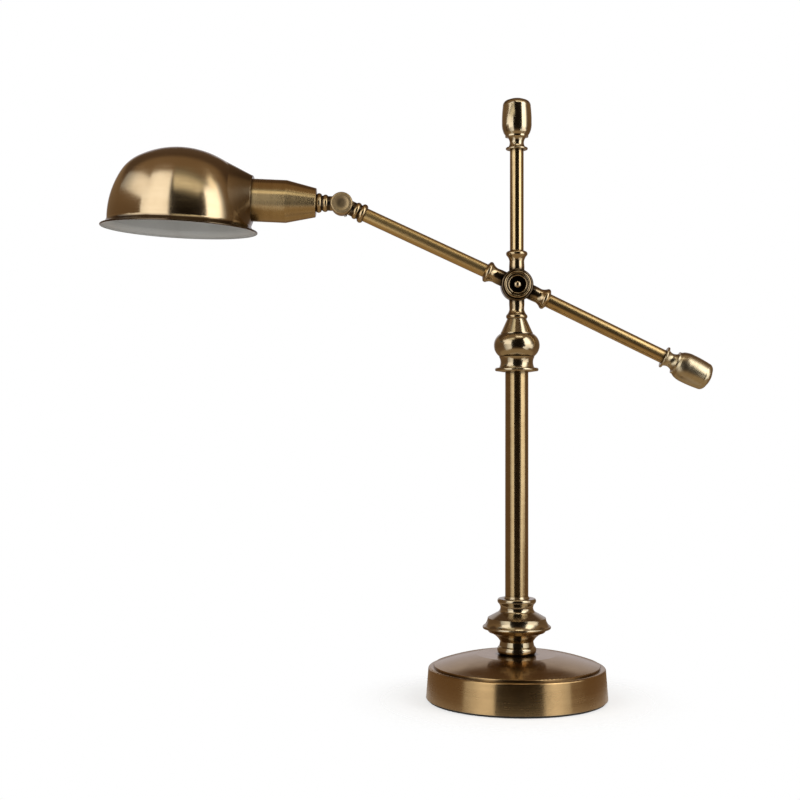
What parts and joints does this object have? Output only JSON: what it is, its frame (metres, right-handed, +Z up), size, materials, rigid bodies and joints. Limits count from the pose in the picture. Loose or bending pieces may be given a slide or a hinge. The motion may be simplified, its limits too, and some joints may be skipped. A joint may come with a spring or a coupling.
{
  "type": "desk lamp",
  "caption": "Antique brass desk lamp: round weighted base, turned column, swivelling mast crossed by a counterweighted boom clamped at a hub, and a tilting helmet shade.",
  "frame": {"origin": "underside of the pad, on the axis of the column", "axes": "+Z up the column; the boom lies in the XZ plane with the shade to -X and the counterweight to +X; +Y is the back, where the cord goes in"},
  "size_m": [0.612, 0.1829, 0.6014],
  "materials": {
    "antique_brass": "brushed, aged brown in the hollows",
    "dark_brass": "cast and turned, dark patina with rubbed edges",
    "iron": "as cast, blackened",
    "pad": "matt black",
    "steel": "zinc plated",
    "nylon": "plain",
    "black_plastic": "plain",
    "porcelain": "white glaze",
    "contact_brass": "bright",
    "bulb_metal": "bright",
    "bulb_glass": "frosted"
  },
  "bodies": {
    "stand": {"base_pad": "pad", "base_weight": "iron", "base_shell": "antique_brass", "cord_bush": "black_plastic", "base_washer": "steel", "base_nut": "steel", "tie_rod": "steel", "column_flex": "black_plastic", "foot_ring": "antique_brass", "foot_bowl": "antique_brass", "foot_cap": "antique_brass", "column_tube": "antique_brass", "vase_flange": "antique_brass", "column_nut": "steel", "vase_ball": "antique_brass", "vase_cone": "antique_brass", "swivel_bush": "nylon"},
    "mast": {"swivel_nipple": "steel", "swivel_washer": "steel", "swivel_nut": "steel", "mast_hub": "dark_brass", "spring_washer": "steel", "mast_tube": "antique_brass", "finial_collar": "antique_brass", "finial": "antique_brass"},
    "boom": {"boom_hub": "dark_brass", "lap_washer": "nylon", "pivot_bolt": "dark_brass", "front_boom_tube": "antique_brass", "rear_boom_tube": "antique_brass", "boom_flex": "black_plastic", "boom_knuckle": "dark_brass", "grub_screw": "steel", "counterweight_collar": "antique_brass", "counterweight": "antique_brass"},
    "knob": {"clamp_knob": "dark_brass"},
    "head": {"head_knuckle": "dark_brass", "knuckle_washer": "nylon", "knuckle_spring": "steel", "knuckle_screw": "dark_brass", "head_nipple": "steel", "cup_nut": "steel", "socket_cup": "antique_brass", "lampholder": "porcelain", "head_flex": "black_plastic", "screw_shell": "contact_brass", "centre_contact": "contact_brass", "bulb_cap": "bulb_metal", "bulb_globe": "bulb_glass", "shade": "antique_brass", "shade_ring": "antique_brass"}
  },
  "joints": [
    {"name": "arm_swivel", "type": "hinge", "parent": "stand", "child": "mast", "pos_m": [0, 0, 0.3809], "axis": [0, 0, 1], "range_deg": [-170, 170]},
    {"name": "boom_tilt", "type": "hinge", "parent": "mast", "child": "boom", "pos_m": [0, 0, 0.4143], "axis": [0, 1, 0], "range_deg": [-55, 8]},
    {"name": "head_tilt", "type": "hinge", "parent": "boom", "child": "head", "pos_m": [-0.17506, 0, 0.49556], "axis": [0, 1, 0], "range_deg": [-50, 60]},
    {"name": "clamp_knob_turn", "type": "hinge", "parent": "boom", "child": "knob", "pos_m": [0, 0, 0.4143], "axis": [0, -1, 0], "range_deg": [0, 180]}
  ]
}
